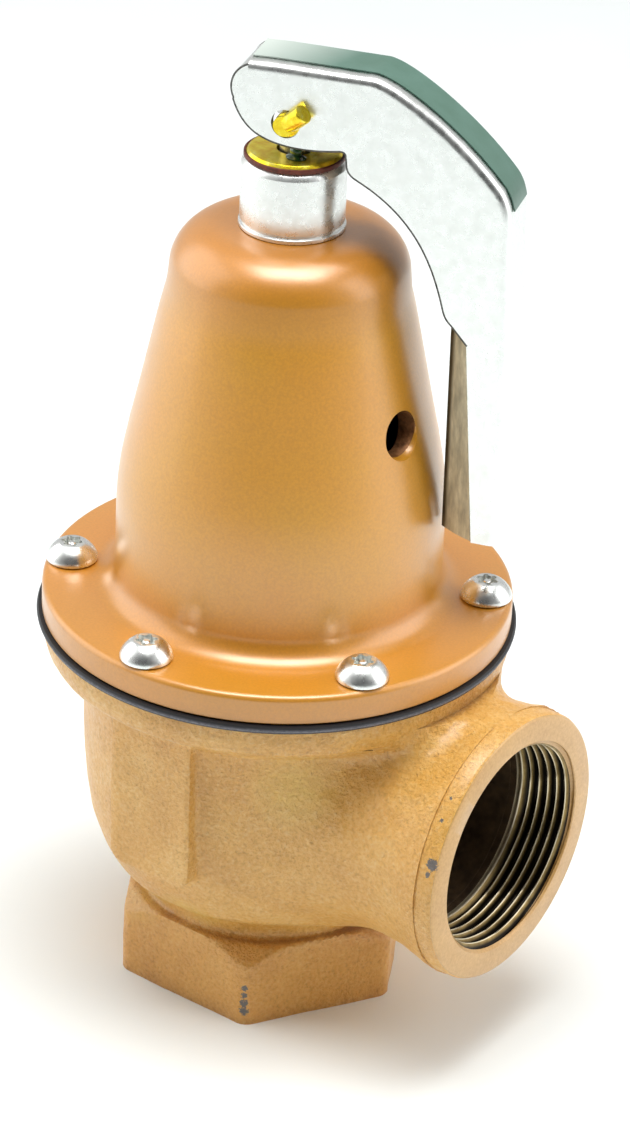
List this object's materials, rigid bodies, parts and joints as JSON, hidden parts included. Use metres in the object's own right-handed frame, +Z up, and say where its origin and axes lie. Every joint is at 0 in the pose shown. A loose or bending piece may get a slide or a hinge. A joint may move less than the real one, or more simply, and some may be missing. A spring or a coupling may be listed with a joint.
{
  "type": "pressure relief valve",
  "caption": "Angle-pattern diaphragm pressure relief valve with threaded inlet below, threaded side outlet, spring bonnet and a lifting lever.",
  "frame": {"origin": "centre of the bounding box's bottom, in the plane of the inlet's face; the valve axis stands at x = -0.00625 m, y = 0", "axes": "+Z up the valve axis from the inlet to the bonnet, +X out of the side outlet"},
  "size_m": [0.1152, 0.1028, 0.2124],
  "materials": {
    "cast_paint": "sand-cast surface under thin bronze-coloured paint",
    "smooth_paint": "satin bronze-coloured paint",
    "brass": "turned",
    "black_rubber": "matt",
    "spring_steel": "oiled",
    "plain_steel": "turned",
    "bright_zinc": "bright zinc plating",
    "yellow_zinc": "yellow zinc plating",
    "red_fibre": "matt fibre",
    "green_label": "printed strip, blank"
  },
  "bodies": {
    "valve_body": {"body_casting": "cast_paint", "seat_ring": "brass", "bonnet": "smooth_paint", "diaphragm": "black_rubber", "spring": "spring_steel", "upper_spring_button": "plain_steel", "adjusting_screw": "plain_steel", "lock_nut": "plain_steel", "seal_cap": "bright_zinc", "seal_ring": "red_fibre", "cap_washer": "yellow_zinc", "flange_screw_1": "bright_zinc", "flange_screw_2": "bright_zinc", "flange_screw_3": "bright_zinc", "flange_screw_4": "bright_zinc", "flange_screw_5": "bright_zinc", "flange_screw_6": "bright_zinc"},
    "disc_assembly": {"disc_holder": "brass", "seat_disc": "black_rubber", "disc_retainer": "brass", "disc_screw": "plain_steel", "pressure_plate": "plain_steel", "diaphragm_nut": "plain_steel", "lower_spring_button": "plain_steel"},
    "stem": {"stem": "plain_steel"},
    "lever": {"lever": "bright_zinc", "lever_label": "green_label", "cotter_pin": "yellow_zinc"}
  },
  "joints": [
    {"name": "disc_lift", "type": "slide", "parent": "valve_body", "child": "disc_assembly", "axis": [0, 0, 1], "range_m": [0, 0.0031], "deforming": ["spring", "diaphragm"]},
    {"name": "stem_swivel", "type": "hinge", "parent": "disc_assembly", "child": "stem", "pos_m": [-0.00625, 0, 0.1998], "axis": [0, 0, 1], "continuous": true},
    {"name": "lever_pivot", "type": "hinge", "parent": "stem", "child": "lever", "pos_m": [-0.00625, 0, 0.1998], "axis": [0.3338, -0.9426, 0], "range_deg": [0, 80]}
  ],
  "couplings": [
    {"joint": "disc_lift", "follows": "lever_pivot", "m_per_rad": 0.0021486}
  ]
}
